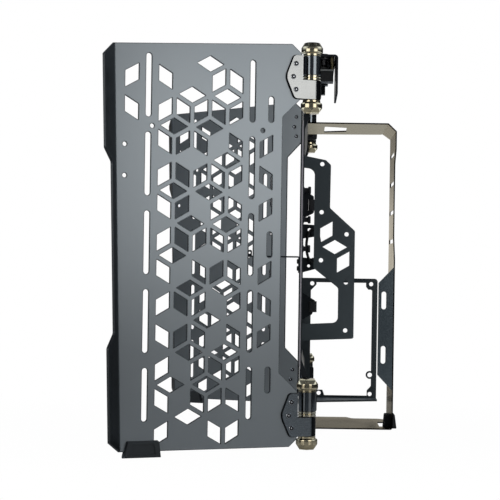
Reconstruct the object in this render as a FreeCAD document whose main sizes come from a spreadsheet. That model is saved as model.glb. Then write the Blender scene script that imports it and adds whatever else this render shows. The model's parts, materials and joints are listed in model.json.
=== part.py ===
import FreeCAD, Part
import math
import os
from FreeCAD import Placement, Rotation, Vector

# Open air test bench: an upright core panel between two folding perforated wings.
# Millimetres. Z is up and z = 0 is the table. The wing hinges stand at y = +/- hinge_span / 2,
# the right wing on the -Y side. X grows from the board side to the power supply side.
# The origin is on the table, under the middle of the bench's box, so the hinge axes stand
# at x = axis_x. Every point below is given from the hinge plane and moved by the frames.

os.makedirs("parts", exist_ok=True)
doc = FreeCAD.newDocument("open_air_test_bench")
sheet = doc.addObject("Spreadsheet::Sheet", "sizes")

SIZES = {
    "axis_x": 45.03,
    "hinge_span": 470.0,
    "splay": 21.76,
    # core panel
    "core_sheet": 2.0,
    "core_back": 10.1,
    "core_jog": 5.1,
    "core_bottom": 16.5,
    "core_rise": 1.5,
    "jog_low": 72.6,
    "jog_low_end": 90.6,
    "jog_high_end": 322.0,
    "jog_high": 339.0,
    "rail_depth": 4.0,
    "ear_depth": 5.5,
    "rail_gap": 0.4,
    "board_hole": 3.2,
    "board_span_y": 281.94,
    "board_mid_y": 124.46,
    "board_span_z": 227.33,
    "board_mid_z": 154.94,
    "board_low_z": 92.6,
    "window_width": 124.0,
    "window_height": 84.0,
    "window_mid_y": 61.0,
    "window_mid_z": 262.0,
    # wing panel
    "wing_sheet": 2.5,
    "wing_offset": 5.8,
    "wing_bottom": 6.0,
    "wing_top_outer": 392.0,
    "wing_top_rise": 11.4,
    "wing_top_run": 180.0,
    "fold_bottom": 192.6,
    "fold_top": 203.4,
    "wing_inner": 32.6,
    "wing_ear": 13.0,
    "flange_bend": 53.2,
    "flange_wide": 24.8,
    "flange_narrow": 9.0,
    "cell": 20.62,
    "cell_web": 4.5,
    "slot_width": 5.6,
    "slot_length": 60.5,
    "slot_pitch": 74.85,
    "slot_outer": 169.0,
    "fan_small": 105.0,
    "fan_large": 124.5,
    "wing_hole": 4.4,
    # wing foot
    "foot_height": 16.2,
    "foot_wall": 4.4,
    "foot_recess": 0.8,
    "foot_length": 37.4,
    # hinges
    "leaf_low": 16.2,
    "leaf_drop": 42.1,
    "leaf_height": 42.4,
    "leaf_thick": 3.0,
    "leaf_bevel": 0.8,
    "barrel_radius": 8.8,
    "knuckle_height": 18.5,
    "hinge_gap": 0.3,
    "ring_height": 2.7,
    "barrel_height": 19.1,
    "pin_radius": 4.0,
    "pin_clearance": 0.05,
    "knob_radius": 10.8,
    "knob_height": 13.4,
    "knob_top_radius": 8.2,
    "knob_neck": 3.6,
    "knob_room": 0.5,
    "leaf_screw": 3.0,
    "leaf_head": 5.0,
    "leaf_head_height": 0.9,
    "block_reach": 9.7,
    "block_depth": 10.0,
    "block_height": 19.0,
    # hoop stand
    "hoop_sheet": 1.5,
    "hoop_near": -22.0,
    "hoop_width": 130.5,
    "hoop_reach": 98.8,
    "hoop_notch": 21.0,
    "hoop_waist": 24.5,
    "hoop_drop": 42.0,
    "hoop_clear": 0.6,
    "hoop_chamfer": 9.6,
    "hoop_foot_height": 16.4,
    "hoop_foot_depth": 17.0,
    # accessory bracket
    "bracket_sheet": 2.0,
    "accessory_inset": 66.0,
    "accessory_hole": 4.5,
    "accessory_pitch": 50.0,
    "accessory_reach": 47.5,
    # power supply bracket
    "supply_inset": 85.5,
    "supply_reach": 88.0,
    "supply_top": 172.2,
    "supply_bottom": 20.5,
    "supply_hole": 5.2,
    "supply_span_z": 138.0,
    "supply_span_x": 74.0,
    "supply_low_z": 27.3,
    "supply_left_x": 5.9,
    # input and output block
    "io_inset": 30.0,
    "io_width": 87.5,
    "io_reach": 26.7,
    "io_rise": 8.2,
    "io_sheet": 2.0,
    "io_skirt": 39.4,
    "io_board": 1.7,
    "io_board_drop": 14.6,
    "button_travel": 1.0,
    "switch_body": 3.4,
    "switch_rise": 4.0,
    # card support, cable hooks and straps
    "support_depth": 14.0,
    "hook_depth": 8.0,
    "peg_depth": 13.0,
    "strap_height": 12.2,
    # screws that hold the brackets
    "screw_radius": 1.5,
    "screw_head": 2.8,
    "screw_head_height": 1.6,
}

for row, (alias, value) in enumerate(SIZES.items(), start=1):
    sheet.set("A%d" % row, alias)
    sheet.set("B%d" % row, str(value))
    sheet.setAlias("B%d" % row, alias)
doc.recompute()


class Sizes:
    """Reads a driving dimension back from the sheet by its alias."""

    def __getattr__(self, alias):
        return float(sheet.get(alias))


s = Sizes()
nodes = []


def keep(label, piece):
    """Names a finished sub-part and lists it for export."""
    piece.Label = label
    nodes.append(piece)
    return piece


# Loops for sketches


def polygon(points, radii=None):
    """A closed loop through points; radii gives the corners that are rounded by a tangent arc."""
    radii = radii or {}
    corners = [Vector(x, y, 0) for x, y in points]
    count = len(corners)
    ends = []
    for i, corner in enumerate(corners):
        back = corners[i - 1] - corner
        ahead = corners[(i + 1) % count] - corner
        radius = radii.get(i, 0)
        if not radius:
            ends.append((corner, None, corner))
            continue
        half = back.getAngle(ahead) / 2
        reach = min(radius / math.tan(half), 0.49 * back.Length, 0.49 * ahead.Length)
        radius = reach * math.tan(half)
        bisector = (back.normalize() + ahead.normalize()).normalize()
        middle = corner + bisector * (radius / math.sin(half) - radius)
        ends.append((corner + back * reach, middle, corner + ahead * reach))
    edges = []
    for i, (start, middle, stop) in enumerate(ends):
        if middle is not None:
            edges.append(Part.Arc(start, middle, stop))
        following = ends[(i + 1) % count][0]
        edges.append(Part.LineSegment(stop, following))
    return edges


def circle(x, y, diameter):
    """A round hole or disc."""
    return [Part.Circle(Vector(x, y, 0), Vector(0, 0, 1), diameter / 2)]


def slot(x, y, length, width, upright=True):
    """A slot with full round ends, centred on x, y."""
    half = (length - width) / 2
    r = width / 2

    def point(along, across):
        return Vector(x + across, y + along, 0) if upright else Vector(x + along, y + across, 0)

    return [
        Part.LineSegment(point(-half, -r), point(half, -r)),
        Part.Arc(point(half, -r), point(half + r, 0), point(half, r)),
        Part.LineSegment(point(half, r), point(-half, r)),
        Part.Arc(point(-half, r), point(-half - r, 0), point(-half, -r)),
    ]


def rectangle(x, y, width, height, radius=0):
    """A rectangle centred on x, y."""
    w, v = width / 2, height / 2
    corners = [(x - w, y - v), (x + w, y - v), (x + w, y + v), (x - w, y + v)]
    return polygon(corners, {i: radius for i in range(4)} if radius else None)


def rhomb(kind, x, y, side):
    """One face of the tumbling block pattern: a leaning rhomb (R or L) or a flat diamond (D)."""
    reach = side * math.cos(math.radians(30))
    if kind == "D":
        return polygon([(x - reach, y), (x, y - side / 2), (x + reach, y), (x, y + side / 2)])
    lean = side / 4 if kind == "L" else -side / 4
    left, right = x - reach / 2, x + reach / 2
    low, high = y - side / 2, y + side / 2
    return polygon([(left, low - lean), (right, low + lean), (right, high + lean), (left, high - lean)])


# Solids

ALONG_Y = Rotation(Vector(1, 0, 0), 90)  # sketch x to X, sketch y to Z, pad towards -Y
ALONG_X = Rotation(Vector(0, 1, 0), Vector(0, 0, 1), Vector(1, 0, 0), "ZXY")  # y, z, pad towards +X
FLAT = Rotation()


def body_with_sketch(name, loops, frame):
    """A PartDesign body with one sketch on its XY plane, placed by frame."""
    body = doc.addObject("PartDesign::Body", name)
    sketch = body.newObject("Sketcher::SketchObject", name + "_sketch")
    plane = [item for item in body.Origin.OriginFeatures if item.Role == "XY_Plane"][0]
    sketch.AttachmentSupport = [(plane, "")]
    sketch.MapMode = "FlatFace"
    for loop in loops:
        for edge in loop:
            sketch.addGeometry(edge, False)
    body.Placement = frame
    return body, sketch


def prism(name, loops, depth, frame, taper=0):
    """Closed loops padded by depth, which is an expression on the sheet."""
    body, sketch = body_with_sketch(name, loops, frame)
    pad = body.newObject("PartDesign::Pad", name + "_pad")
    pad.Profile = sketch
    pad.setExpression("Length", depth)
    pad.TaperAngle = taper
    return body


def turned(name, profile, frame):
    """A profile of (radius, height) points turned about the vertical axis."""
    body, sketch = body_with_sketch(name, [polygon(profile)], frame * Placement(Vector(), ALONG_Y))
    turn = body.newObject("PartDesign::Revolution", name + "_turn")
    turn.Profile = sketch
    turn.ReferenceAxis = (sketch, ["V_Axis"])
    turn.Angle = 360
    return body


def rod(name, radius, height, frame):
    """A cylinder whose radius and height are expressions on the sheet."""
    cylinder = doc.addObject("Part::Cylinder", name)
    cylinder.setExpression("Radius", radius)
    cylinder.setExpression("Height", height)
    cylinder.Placement = frame
    return cylinder


def block(name, length, width, height, frame):
    """A box whose sides are expressions on the sheet."""
    box = doc.addObject("Part::Box", name)
    box.setExpression("Length", length)
    box.setExpression("Width", width)
    box.setExpression("Height", height)
    box.Placement = frame
    return box


def joined(name, pieces):
    """Several shapes fused into one solid."""
    fuse = doc.addObject("Part::MultiFuse", name)
    fuse.Shapes = pieces
    fuse.Refine = False
    return fuse


def cut(name, base, tools):
    """Base with every tool taken away."""
    tool = tools[0] if len(tools) == 1 else grouped(name + "_tools", tools)
    result = doc.addObject("Part::Cut", name)
    result.Base = base
    result.Tool = tool
    result.Refine = False
    return result


def grouped(name, pieces):
    """Separate solids kept together."""
    group = doc.addObject("Part::Compound", name)
    group.Links = pieces
    return group


def mirrored(label, source):
    """The same piece on the other side of the bench."""
    twin = doc.addObject("Part::Mirroring", label)
    twin.Source = source
    twin.Base = Vector(0, 0, 0)
    twin.Normal = Vector(0, 1, 0)
    return keep(label, twin)


CORE = Placement(Vector(s.axis_x, 0, 0), FLAT)
WING = Placement(Vector(s.axis_x, -s.hinge_span / 2, 0), Rotation(Vector(0, 0, 1), 180 + s.splay))
HINGE = Placement(Vector(s.axis_x, -s.hinge_span / 2, 0), FLAT)


def core_at(x, y, z, turn=FLAT):
    """A frame from the hinge plane, the middle of the bench and the table."""
    return CORE * Placement(Vector(x, y, z), turn)


def wing_at(out, off, z, turn=FLAT):
    """A frame in the right wing: out along the panel, off towards its outer face."""
    return WING * Placement(Vector(out, off, z), turn)


# Core panel: one folded sheet. Its middle lies behind the hinge plane and its upper and lower
# bands are set forward by core_jog, so that the ears meet the barrels.

DRAWN_TOP = 392.0


def lift(z):
    """A height drawn for a wing that is DRAWN_TOP high; it follows the wing's own height."""
    return z * s.wing_top_outer / DRAWN_TOP


core_top = s.wing_top_outer + s.core_rise
leaf_high = s.wing_top_outer - s.leaf_drop
hoop_top = s.wing_top_outer - s.hoop_drop
io_top = s.wing_top_outer + s.io_rise
jog_high_end = lift(s.jog_high_end)
jog_high = lift(s.jog_high)
leaf_levels = {"upper": leaf_high, "lower": s.leaf_low}
ring_start = s.knuckle_height + s.hinge_gap
barrel_start = ring_start + 2 * s.ring_height
knob_start = barrel_start + s.barrel_height
half_width = s.hinge_span / 2 - s.barrel_radius - s.rail_gap
back_x = -s.core_back
front_x = back_x + s.core_sheet
band_back_x = back_x + s.core_jog
band_front_x = band_back_x + s.core_sheet
step = s.core_sheet * math.tan(math.atan2(s.core_jog, jog_high - jog_high_end) / 2)

sheet_loop = polygon([
    (band_back_x, s.core_bottom),
    (band_front_x, s.core_bottom),
    (band_front_x, s.jog_low + step),
    (front_x, s.jog_low_end + step),
    (front_x, jog_high_end - step),
    (band_front_x, jog_high - step),
    (band_front_x, core_top),
    (band_back_x, core_top),
    (band_back_x, jog_high),
    (back_x, jog_high_end),
    (back_x, s.jog_low_end),
    (band_back_x, s.jog_low),
])
rail_front = back_x + s.rail_depth
ear_front = band_back_x + s.ear_depth
block_rise = 1.6
wide_ear = ear_front + 5.5
upper_ear = leaf_high + block_rise
lower_ear = s.leaf_low + s.leaf_height - block_rise
rail_loop = polygon([
    (band_back_x, s.core_bottom),
    (ear_front, s.core_bottom),
    (ear_front, lower_ear - s.block_height),
    (wide_ear, lower_ear - s.block_height),
    (wide_ear, lower_ear),
    (ear_front, lower_ear),
    (ear_front, s.jog_low),
    (rail_front, s.jog_low_end + step),
    (rail_front, jog_high_end - step),
    (ear_front, jog_high - step),
    (ear_front, upper_ear),
    (wide_ear, upper_ear),
    (wide_ear, upper_ear + s.block_height),
    (ear_front, upper_ear + s.block_height),
    (ear_front, core_top),
    (band_back_x, core_top),
    (band_back_x, jog_high),
    (back_x, jog_high_end),
    (back_x, s.jog_low_end),
    (band_back_x, s.jog_low),
])

# Bracket flanges on the panel's front face: (y, z) of each screw
FLANGE = 13.0
accessory_y = -s.hinge_span / 2 + s.accessory_inset
supply_y = s.hinge_span / 2 - s.supply_inset
io_near = -s.hinge_span / 2 + s.io_inset
accessory_screws = [(accessory_y + 8.0, lift(z)) for z in (293.5, 116.0)]
supply_screws = [(supply_y + 8.0, 112.0), (supply_y + 8.0, 156.0), (supply_y + 8.0, 40.0)]
hoop_mid = s.hoop_near + s.hoop_width / 2
hoop_screws = [(hoop_mid + side * 42.0, z) for z in (hoop_top + 8.0, 26.0) for side in (-1, 0, 1)]
io_mid = io_near + s.io_width / 2
io_screws = [(io_mid + side * 30.0, io_top - 20.2) for side in (-1, 1)]
support_y = 0.0
support_screws = [(support_y, 191.2), (support_y, 183.2)]
screw_clear = 2 * s.screw_radius

board_left = -s.board_span_y / 2
board_columns = [board_left, board_left + s.board_mid_y, board_left + s.board_span_y]
board_rows = [s.board_low_z, s.board_low_z + s.board_mid_z, s.board_low_z + s.board_span_z]

panel_openings = [circle(y, z, s.board_hole) for y in board_columns for z in board_rows]
panel_openings.append(rectangle(s.window_mid_y, lift(s.window_mid_z), s.window_width, s.window_height, 8))
for y in (-105, 105):
    panel_openings.append(slot(y, 127.0, 70.0, 20.0, upright=False))
for y in (-190, 190):
    panel_openings.append(slot(y, 165.0, 80.0, 20.0))
panel_openings.append(slot(-65, s.wing_top_outer - 26.0, 60.0, 14.0, upright=False))
panel_openings.append(slot(-105, 44.0, 120.0, 14.0, upright=False))
screw_places = accessory_screws + supply_screws + hoop_screws + io_screws + support_screws
panel_openings += [circle(y, z, screw_clear) for y, z in screw_places]

# Tie tabs: lanced out of the panel, each with a slot for a strap
TAB_Y = -62.0
upper_tab = polygon([
    (front_x - 0.5, 271.9), (5.0, 263.3), (5.3, 244.9), (front_x - 0.5, 237.6),
], {1: 1.5, 2: 3})
lower_tab = polygon([
    (front_x - 0.5, 157.5), (7.9, 147.5), (8.2, 140.0), (4.5, 131.8), (front_x - 0.5, 125.0),
], {1: 1.5, 2: 2, 3: 3})
STRAP_FIT = 0.1
TAB_SLOT = 3.0
strap_places = ((0.6, 253.6), (2.6, 140.6))
upper_tab_slot, lower_tab_slot = [rectangle(x, z, TAB_SLOT, s.strap_height + 2 * STRAP_FIT, 0.3)
                                  for x, z in strap_places]

core_sheet = prism("core_sheet_body", [sheet_loop],
                   "sizes.hinge_span - 2 * (sizes.barrel_radius + sizes.rail_gap)",
                   core_at(0, half_width, 0, ALONG_Y))
right_rail = prism("right_rail", [rail_loop], "sizes.core_sheet",
                   core_at(0, -half_width + s.core_sheet, 0, ALONG_Y))
left_rail = prism("left_rail", [rail_loop], "sizes.core_sheet", core_at(0, half_width, 0, ALONG_Y))
tab_frame = core_at(0, TAB_Y + s.core_sheet, 0, ALONG_Y)
tabs = [
    prism("upper_tie_tab", [upper_tab, upper_tab_slot], "sizes.core_sheet", tab_frame),
    prism("lower_tie_tab", [lower_tab, lower_tab_slot], "sizes.core_sheet", tab_frame),
]
panel_tool = prism("panel_openings", panel_openings, "sizes.core_jog + sizes.core_sheet + 2",
                   core_at(back_x - 1, 0, 0, ALONG_X))
pierced_sheet = cut("pierced_sheet", core_sheet, [panel_tool])
core_blank = joined("core_blank", [pierced_sheet, right_rail, left_rail] + tabs)

# The panel's edges are notched where the hinges' clamping knobs turn
knob_rooms = []
for side in (-1, 1):
    for base in leaf_levels.values():
        for low in (base + knob_start, base - s.hinge_gap - s.knob_height):
            knob_rooms.append(rod("knob_room_%d" % len(knob_rooms), "sizes.knob_radius + sizes.knob_room",
                                  "sizes.knob_height + 2 * sizes.knob_room",
                                  core_at(0, side * s.hinge_span / 2, low - s.knob_room)))
keep("core_panel", cut("core_panel", core_blank, knob_rooms))

# Wing panel: the flat plate, its bent outer flange and the round of the bend

opening = s.cell - s.cell_web / math.cos(math.radians(30))
column_pitch = s.cell * math.cos(math.radians(30))
row_pitch = lift(1.5 * s.cell)
FIRST_COLUMN = 152.3
first_row = lift(362.9)


def lattice(column, row):
    """Where a block of the pattern stands: columns run to the hinge, rows run down."""
    return FIRST_COLUMN - (column - 1) * column_pitch, first_row - row * row_pitch


# R and L are the leaning faces of a block, and the number after each is its row
COLUMNS = {
    1: "L0 R1 L2 R3 L4 R5 L6 R7 L8 R9 L10 R11",
    2: "L1 R2 L3 R4 L5 L7 R8",
    3: "R1 L2 R3 R5 L6 R7 L8 R9 L10",
    4: "R0 L1 L3 R4 L5 R6 L9 R10 L11",
    5: "L0 R1 L2 R3 L4 R5 L6 R7 L8 R9 L10 R11",
}
LONE_COLUMNS = {185.4: "R0 L1", 49.2: "R2 L3 R4 R6 L7 R8"}
# flat faces: the column to their outer side, then the rows they sit between
DIAMONDS = {
    1: (1.5, 3.5, 5.5, 9.5),
    2: (0.5, 4.5, 6.5, 8.5, 10.5),
    3: (-0.5, 1.5, 3.5, 7.5, 9.5),
    4: (0.5, 2.5, 4.5, 6.5, 8.5),
}


def wing_openings():
    """Every opening of the wing panel, in the panel's own plane."""
    loops = []
    for column, faces in COLUMNS.items():
        for face in faces.split():
            x, z = lattice(column, int(face[1:]))
            loops.append(rhomb(face[0], x, z, opening))
    for x, faces in LONE_COLUMNS.items():
        for face in faces.split():
            loops.append(rhomb(face[0], x, lattice(1, int(face[1:]))[1], opening))
    for column, rows in DIAMONDS.items():
        for place in rows:
            x, z = lattice(column + 0.5, place)
            loops.append(rhomb("D", x, z, opening))
    slots_top = s.wing_top_outer - 7.3
    slot_length = lift(s.slot_length)
    last_length = slot_length - 9.5
    for x in (s.slot_outer, s.slot_outer - s.fan_small):
        for i in range(4):
            top = slots_top - i * lift(s.slot_pitch)
            loops.append(slot(x, top - slot_length / 2, slot_length, s.slot_width))
        last_top = slots_top - 4 * lift(s.slot_pitch)
        loops.append(slot(x, last_top - last_length / 2, last_length, s.slot_width))
    for z in (337.6, 204.9, 72.3):
        loops.append(slot(s.slot_outer - s.fan_large, lift(z), 25.5, s.slot_width))
    for x, z in ((165.1, 315.7), (191.7, 297.2), (191.5, 267.6), (53.1, 316.6)):
        loops.append(circle(x, lift(z), s.wing_hole))
    return loops


wing_top_inner = s.wing_top_outer + s.wing_top_rise
wing_loop = polygon([
    (s.fold_bottom, s.wing_bottom),
    (s.fold_top, s.wing_top_outer),
    (s.fold_top - s.wing_top_run, wing_top_inner),
    (s.wing_ear, wing_top_inner - 9.0),
    (s.wing_ear, leaf_high + 0.4),
    (s.wing_inner, leaf_high - 19.0),
    (s.wing_inner, s.leaf_low + s.leaf_height + 20.5),
    (s.wing_ear, s.leaf_low + s.leaf_height + 2.3),
    (s.wing_ear, s.wing_bottom + 7.5),
    (s.wing_ear + 8.0, s.wing_bottom),
], {2: 2.0, 3: 1.5, 5: 2.0, 6: 2.0})

LEAF_SCREWS = ((20.3, 34.1), (23.0, 21.1), (20.1, 8.6))
leaf_holes = [circle(x, base + z, s.leaf_screw) for base in leaf_levels.values() for x, z in LEAF_SCREWS]

wing_plate = prism("wing_plate", [wing_loop] + wing_openings() + leaf_holes, "sizes.wing_sheet",
                   wing_at(0, s.wing_offset, 0, ALONG_Y))

fold_rise = s.wing_top_outer - s.wing_bottom
fold_length = math.hypot(s.fold_top - s.fold_bottom, fold_rise)
lean = math.atan2(s.fold_top - s.fold_bottom, fold_rise)
bend = math.radians(s.flange_bend)
fold_up = Vector(math.sin(lean), 0, math.cos(lean))
fold_out = Vector(math.cos(bend) * math.cos(lean), math.sin(bend), -math.cos(bend) * math.sin(lean))
fold_normal = fold_out.cross(fold_up)
fold_start = Vector(s.fold_bottom, s.wing_offset - s.wing_sheet / 2, s.wing_bottom)
flange_turn = Rotation(fold_out, fold_up, fold_normal, "ZXY")
flange_loop = polygon([
    (0, 0),
    (s.flange_wide, 11.4),
    (s.flange_wide, 99.5),
    (s.flange_narrow, 112.6),
    (s.flange_narrow, fold_length - 112.4),
    (s.flange_wide, fold_length - 100.4),
    (s.flange_wide, fold_length - 13.1),
    (0, fold_length),
], {2: 3, 3: 3, 4: 3, 5: 3})
flange_start = fold_start - fold_normal * (s.wing_sheet / 2)
wing_flange = prism("wing_flange", [flange_loop], "sizes.wing_sheet",
                    WING * Placement(flange_start, flange_turn))
fold_turn = Rotation(Vector(0, 0, 1), fold_up)
wing_bend = rod("wing_bend", "sizes.wing_sheet / 2",
                "sqrt((sizes.fold_top - sizes.fold_bottom)^2 + (sizes.wing_top_outer - sizes.wing_bottom)^2)",
                WING * Placement(fold_start, fold_turn))
wing_parts = [wing_plate, wing_flange, wing_bend]
right_wing_panel = keep("right_wing_panel", joined("right_wing_panel", wing_parts))

# Wing foot: a rubber shoe with tapered cheeks, pushed up over the panel's lower edge

foot_out = s.fold_bottom - 3.0
foot_in = foot_out - s.foot_length
foot_loop = polygon([
    (foot_in, 0), (foot_out, 0), (foot_out - 3.6, s.foot_height), (foot_in + 2.0, s.foot_height),
], {2: 1.5, 3: 1.5})
recess_loop = polygon([
    (foot_in + 6, 3.0), (foot_out - 6, 3.0),
    (foot_out - 8.6, s.foot_height - 3), (foot_in + 7.5, s.foot_height - 3),
])
inner_off = s.wing_offset - s.wing_sheet
foot_core = prism("foot_core", [foot_loop], "sizes.wing_sheet", wing_at(0, s.wing_offset, 0, ALONG_Y))
foot_back = prism("foot_back", [foot_loop], "sizes.foot_wall", wing_at(0, inner_off, 0, ALONG_Y), -10)
foot_front_turn = ALONG_Y * Rotation(Vector(0, 1, 0), 180)
foot_front_loop = polygon([
    (-foot_in, 0), (-foot_out, 0), (-foot_out + 3.6, s.foot_height), (-foot_in - 2.0, s.foot_height),
], {2: 1.5, 3: 1.5})
foot_front = prism("foot_front", [foot_front_loop], "sizes.foot_wall",
                   wing_at(0, s.wing_offset, 0, foot_front_turn), -10)
foot_channel = prism("foot_channel", [wing_loop], "sizes.wing_sheet", wing_at(0, s.wing_offset, 0, ALONG_Y))
foot_recess = prism("foot_recess", [recess_loop], "sizes.foot_recess",
                    wing_at(0, s.wing_offset + s.foot_wall, 0, ALONG_Y))
foot_blank = joined("foot_blank", [foot_core, foot_back, foot_front])
right_wing_foot = keep("right_wing_foot", cut("right_wing_foot", foot_blank, [foot_channel, foot_recess]))

# Hinges: a leaf on each wing turns on a pin between two clamping knobs, under the core's barrel

leaf_face = s.wing_offset + s.leaf_thick
leaf_loop = polygon([
    (13.2, 0), (21.0, 0), (30.4, 20.9), (22.0, s.leaf_height), (13.2, s.leaf_height),
], {1: 4, 2: 13, 3: 4})


def make_leaf(name, base):
    """The wing's half of a hinge: bevelled leaf, cover over the knuckle, knuckle and bore."""
    leaf = prism(name + "_plate", [leaf_loop], "sizes.leaf_thick", wing_at(0, leaf_face, base, ALONG_Y),
                 math.degrees(math.atan2(s.leaf_bevel, s.leaf_thick)))
    cover_loop = polygon([(0, 0), (16.0, 0), (16.0, s.knuckle_height), (0, s.knuckle_height)])
    cover = prism(name + "_cover", [cover_loop], "sizes.leaf_thick", wing_at(0, leaf_face, base, ALONG_Y))
    web_loop = polygon([(0, 0), (11.0, 0), (11.0, s.knuckle_height), (0, s.knuckle_height)])
    web = prism(name + "_web", [web_loop], "sizes.wing_offset + 3", wing_at(0, s.wing_offset, base, ALONG_Y))
    knuckle = rod(name + "_knuckle", "sizes.barrel_radius", "sizes.knuckle_height", wing_at(0, 0, base))
    blank = joined(name + "_blank", [leaf, cover, web, knuckle])
    bore = rod(name + "_bore", "sizes.pin_radius + sizes.pin_clearance", "sizes.knuckle_height + 2",
               wing_at(0, 0, base - 1))
    holes = [rod("%s_hole_%d" % (name, i), "sizes.leaf_screw / 2", "sizes.leaf_thick + 2",
                 wing_at(x, leaf_face + 1, base + z, ALONG_Y)) for i, (x, z) in enumerate(LEAF_SCREWS)]
    return cut(name, blank, [bore] + holes)


def make_knob(name, base, upward):
    """A clamping knob: plain neck, round band, then a six-sided taper, with a blind bore for the pin."""
    turn = FLAT if upward else Rotation(Vector(1, 0, 0), 180)
    frame = HINGE * Placement(Vector(0, 0, base), turn)
    band = s.knob_height * 0.64
    outer = turned(name + "_round", [
        (0, 0), (s.barrel_radius, 0), (s.barrel_radius, s.knob_neck * 0.6),
        (s.knob_radius, s.knob_neck + 1.0),
        (s.knob_radius, band), (0, band),
    ], frame)
    sections = []
    for part, radius, height in (("wide", s.knob_radius, band), ("tip", s.knob_top_radius, s.knob_height)):
        ring = doc.addObject("Part::RegularPolygon", "%s_%s" % (name, part))
        ring.Polygon = 6
        ring.Circumradius = radius
        ring.Placement = frame * Placement(Vector(0, 0, height), Rotation(Vector(0, 0, 1), 30))
        sections.append(ring)
    taper = doc.addObject("Part::Loft", name + "_taper")
    taper.Sections = sections
    taper.Solid = True
    taper.Ruled = True
    bore = rod(name + "_bore", "sizes.pin_radius", "sizes.knob_height * 0.7", frame)
    return cut(name, joined(name + "_blank", [outer, taper]), [bore])


def make_ring_pair(name, base):
    """Two friction washers with rounded rims."""
    rings = []
    for i in range(2):
        low = base + ring_start + i * s.ring_height
        rim = s.barrel_radius + 0.15
        h = s.ring_height
        inner = s.pin_radius
        profile = [(inner, 0), (rim - 0.6, 0), (rim, 0.6), (rim, h - 0.6), (rim - 0.6, h), (inner, h)]
        rings.append(turned("%s_%d" % (name, i), profile, HINGE * Placement(Vector(0, 0, low), FLAT)))
    return grouped(name, rings)


def make_barrel(name, base):
    """The core's half of a hinge: a polished barrel with a foot that meets the ear."""
    low = base + barrel_start
    edge = 0.4
    r = s.barrel_radius
    h = s.barrel_height
    barrel = turned(name + "_round", [(0, 0), (r - edge, 0), (r, edge), (r, h - edge), (r - edge, h), (0, h)],
                    HINGE * Placement(Vector(0, 0, low), FLAT))
    foot = block(name + "_foot",
                 "sizes.ear_depth", "sizes.barrel_radius + sizes.rail_gap", "sizes.barrel_height",
                 HINGE * Placement(Vector(band_back_x, 0, low), FLAT))
    bore = rod(name + "_bore", "sizes.pin_radius", "sizes.barrel_height + 2",
               HINGE * Placement(Vector(0, 0, low - 1), FLAT))
    return cut(name, joined(name + "_blank", [barrel, foot]), [bore])


def make_ear_block(name, low):
    """A moulded block inside the ear that stiffens it; two screws go through it."""
    y = -half_width + s.core_sheet
    width = s.block_reach - band_front_x
    loop = polygon([
        (band_front_x, 0), (s.block_reach, 0),
        (s.block_reach, s.block_height), (band_front_x, s.block_height),
    ], {1: 3.5, 2: 3.5})
    body = prism(name + "_body", [loop], "sizes.block_depth", core_at(0, y + s.block_depth, low, ALONG_Y))
    x = band_front_x + width / 2 - 0.5
    holes = [rod("%s_hole_%d" % (name, i), "sizes.screw_radius", "sizes.block_depth + 2",
                 core_at(x, y + s.block_depth + 1, low + s.block_height / 2 + side * 3.9, ALONG_Y))
             for i, side in enumerate((-1, 1))]
    return cut(name, body, holes)


def make_screw(name, frame, grip, head_radius, head_height, radius, socket=True):
    """A socket screw: its shank runs along the frame's z for grip, its head sits above it."""
    profile = [(0, 0), (radius, 0), (radius, grip), (head_radius, grip), (head_radius, grip + head_height * 0.6),
               (head_radius - head_height * 0.4, grip + head_height)]
    if socket:
        profile += [(head_radius * 0.45, grip + head_height)]
        profile += [(head_radius * 0.45, grip + head_height * 0.35)]
        profile += [(0, grip + head_height * 0.35)]
    else:
        profile += [(0, grip + head_height)]
    return turned(name, profile, frame)


OUTWARD = Rotation(Vector(1, 0, 0), -90)  # turns a screw's z to the wing's outer side
INWARD = Rotation(Vector(1, 0, 0), 90)
leaf_grip = s.leaf_thick + s.wing_sheet
leaf_screws = []
leaf_nuts = []
ear_screws = []
for level, base in leaf_levels.items():
    right = {
        "leaf": make_leaf("right_%s_leaf" % level, base),
        "barrel": make_barrel("right_%s_barrel" % level, base),
        "friction_rings": make_ring_pair("right_%s_friction_rings" % level, base),
        "top_knob": make_knob("right_%s_top_knob" % level, base + knob_start, True),
        "bottom_knob": make_knob("right_%s_bottom_knob" % level, base - s.hinge_gap, False),
    }
    pin_low = base - s.hinge_gap - s.knob_height * 0.7
    right["pin"] = rod("right_%s_pin" % level, "sizes.pin_radius",
                       "2 * sizes.ring_height + sizes.barrel_height + sizes.knuckle_height"
                       " + 2 * sizes.hinge_gap + 1.4 * sizes.knob_height",
                       HINGE * Placement(Vector(0, 0, pin_low), FLAT))
    block_low = upper_ear if level == "upper" else lower_ear - s.block_height
    right["ear_block"] = make_ear_block("right_%s_ear_block" % level, block_low)
    for kind, piece in right.items():
        keep("right_%s_%s" % (level, kind), piece)
        mirrored("left_%s_%s" % (level, kind), piece)
    for i, (x, z) in enumerate(LEAF_SCREWS):
        place = wing_at(x, inner_off, base + z, OUTWARD)
        leaf_screws.append(make_screw("leaf_screw_%s_%d" % (level, i), place, leaf_grip, s.leaf_head / 2,
                                      s.leaf_head_height, s.leaf_screw / 2))
        nut_place = wing_at(x, inner_off, base + z, INWARD)
        leaf_nuts.append(turned("leaf_nut_%s_%d" % (level, i),
                                [(0, 0), (2.6, 0), (2.6, 0.8), (1.9, 1.4), (0.9, 1.4), (0.9, 0.7), (0, 0.7)],
                                nut_place))
    for i, side in enumerate((-1, 1)):
        x = band_front_x + (s.block_reach - band_front_x) / 2 - 0.5
        y = -half_width + s.core_sheet
        place = core_at(x, y, block_low + s.block_height / 2 + side * 3.9, OUTWARD)
        ear_screws.append(make_screw("ear_screw_%s_%d" % (level, i), place, s.block_depth, s.screw_head,
                                     s.screw_head_height, s.screw_radius))

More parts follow.
